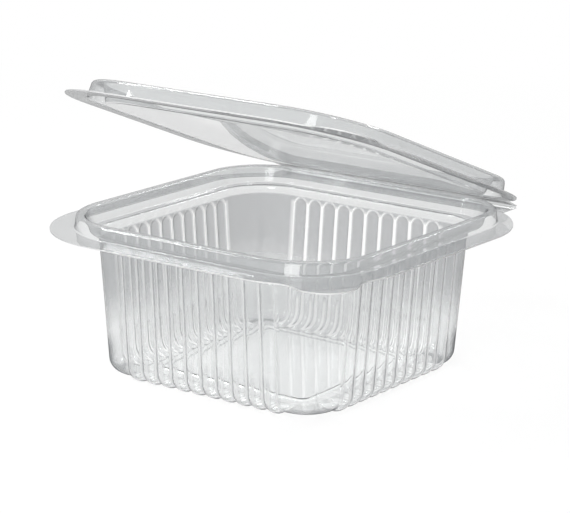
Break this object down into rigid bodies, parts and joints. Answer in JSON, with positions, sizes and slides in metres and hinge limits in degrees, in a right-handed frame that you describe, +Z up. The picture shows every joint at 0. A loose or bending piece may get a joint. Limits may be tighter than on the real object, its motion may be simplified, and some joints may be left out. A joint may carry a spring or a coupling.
{
  "type": "clear clamshell food pack",
  "caption": "Square clear plastic tub with fluted walls, a raised rim and a flat lid of the same outline joined by a living hinge, shown partly open.",
  "frame": {"origin": "on the table, in the middle of the pack's outline from the front edge to the fold", "axes": "+Z up, +Y towards the hinge, +X to the right when the hinge is at the back"},
  "size_m": [0.135, 0.1384, 0.1045],
  "materials": {
    "tub": "clear gloss plastic sheet",
    "lid": "clear gloss plastic sheet"
  },
  "bodies": {
    "tub": {"tub": "tub"},
    "lid": {"lid": "lid"}
  },
  "joints": [
    {"name": "lid_hinge", "type": "hinge", "parent": "tub", "child": "lid", "pos_m": [0, 0.06929, 0.05185], "axis": [-1, 0, 0], "range_deg": [-21, 159], "stiffness_Nm_per_rad": 0.04, "springref_deg": 8.59}
  ]
}
